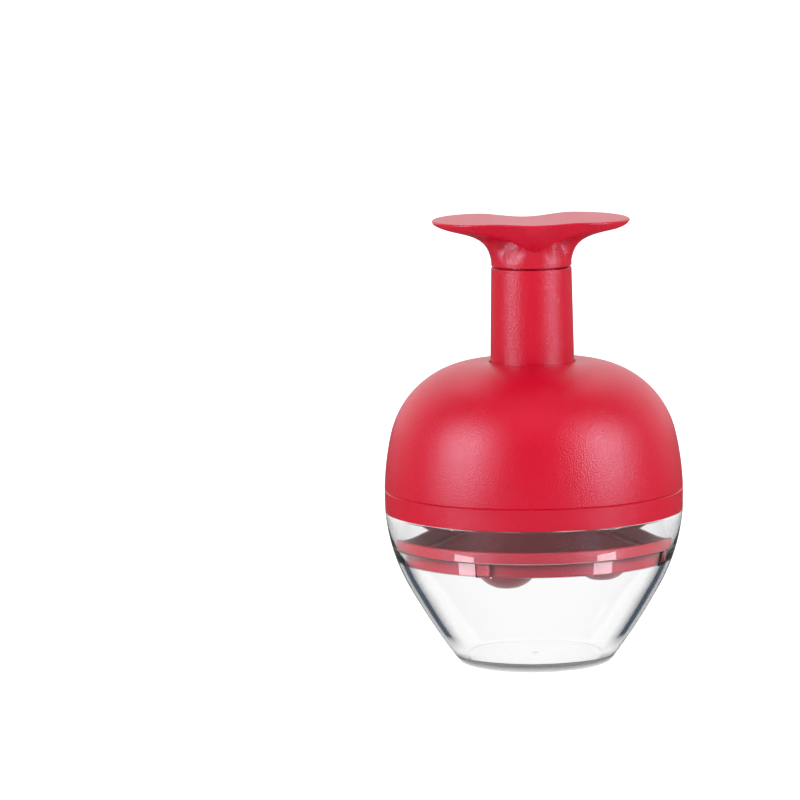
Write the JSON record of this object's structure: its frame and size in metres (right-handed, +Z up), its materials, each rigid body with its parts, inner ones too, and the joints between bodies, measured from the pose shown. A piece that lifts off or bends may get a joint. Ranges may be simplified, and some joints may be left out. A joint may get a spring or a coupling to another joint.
{
  "type": "cherry pitter",
  "caption": "Push-down cherry pitter: clear bowl, drop-in tray with cherry cups, domed head and a sprung plunger with steel punches.",
  "frame": {"origin": "middle of the bowl's resting face", "axes": "+Z up along the plunger's axis, -Y towards the front, +X to the right along the handle's lobes"},
  "size_m": [0.1006, 0.1006, 0.15],
  "materials": {
    "red_plastic": "satin moulded plastic with a fine spark-eroded texture",
    "clear_plastic": "polished clear plastic",
    "steel": "turned stainless steel",
    "spring_steel": "drawn spring wire",
    "seal_rubber": "soft dark red rubber"
  },
  "bodies": {
    "bowl": {"pit_bowl": "clear_plastic"},
    "tray": {"cherry_tray": "red_plastic"},
    "head": {"base_ring": "red_plastic", "stripper_plate": "red_plastic", "plate_screws": "steel", "dome_shell": "red_plastic", "punch_seal_1": "seal_rubber", "punch_seal_2": "seal_rubber", "punch_seal_3": "seal_rubber", "punch_seal_4": "seal_rubber", "return_spring": "spring_steel"},
    "plunger": {"spring_washer": "steel", "plunger_tube": "red_plastic", "punch_clamp": "red_plastic", "clamp_screws": "steel", "punch_1": "steel", "punch_2": "steel", "punch_3": "steel", "punch_4": "steel", "handle_cap": "red_plastic", "handle_screw": "steel"}
  },
  "joints": [
    {"name": "tray_lift", "type": "slide", "parent": "bowl", "child": "tray", "axis": [0, 0, 1], "range_m": [0, 0.04]},
    {"name": "head_lift", "type": "slide", "parent": "tray", "child": "head", "axis": [0, 0, 1], "range_m": [0, 0.06]},
    {"name": "plunger_press", "type": "slide", "parent": "head", "child": "plunger", "axis": [0, 0, -1], "range_m": [0, 0.03], "stiffness_N_per_m": 400, "springref_m": -0.012, "deforming": ["return_spring"]}
  ]
}
